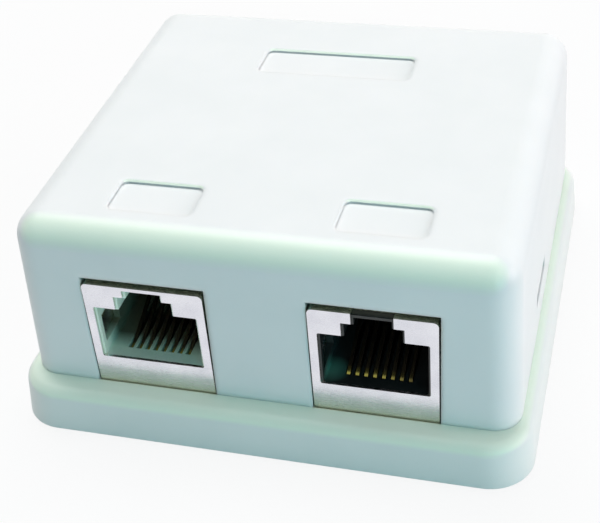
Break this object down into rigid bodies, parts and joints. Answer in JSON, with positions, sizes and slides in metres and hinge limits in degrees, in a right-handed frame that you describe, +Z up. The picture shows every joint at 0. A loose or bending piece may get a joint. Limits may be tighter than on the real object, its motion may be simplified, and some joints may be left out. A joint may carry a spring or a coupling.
{
  "type": "surface mount jack box",
  "caption": "Small white surface mount box with shielded keystone network jacks in its front, a clip-fit cover and a flat base with a wider rim.",
  "frame": {"origin": "middle of the underside that lies on the desk or wall", "axes": "+X to the right seen from the jack faces, +Y from the jack faces to the back, +Z up from the base to the cover"},
  "size_m": [0.0616, 0.0604, 0.0274],
  "materials": {
    "case_plastic": "fine satin",
    "shield_metal": "bright tinned sheet",
    "white_housing_plastic": "satin",
    "black_housing_plastic": "satin",
    "contact_gold": "gold plated",
    "clip_metal": "tinned",
    "board_green": "solder mask",
    "block_plastic": "satin",
    "cap_plastic": "satin"
  },
  "bodies": {
    "box": {"base": "case_plastic", "left_snap_tongue": "case_plastic", "right_snap_tongue": "case_plastic", "left_jack_front_shield": "shield_metal", "left_jack_housing": "white_housing_plastic", "left_jack_contacts": "contact_gold", "left_jack_circuit_board": "board_green", "left_jack_wire_block": "block_plastic", "left_jack_wire_clips": "clip_metal", "left_jack_wire_cap": "cap_plastic", "left_jack_rear_shield": "shield_metal", "right_jack_front_shield": "shield_metal", "right_jack_housing": "black_housing_plastic", "right_jack_contacts": "contact_gold", "right_jack_circuit_board": "board_green", "right_jack_wire_block": "block_plastic", "right_jack_wire_clips": "clip_metal", "right_jack_wire_cap": "cap_plastic", "right_jack_rear_shield": "shield_metal"},
    "lid": {"cover": "case_plastic"}
  },
  "joints": [
    {"name": "cover_lift", "type": "slide", "parent": "box", "child": "lid", "axis": [0, 0, 1], "range_m": [0, 0.03], "deforming": ["left_snap_tongue", "right_snap_tongue"]}
  ]
}
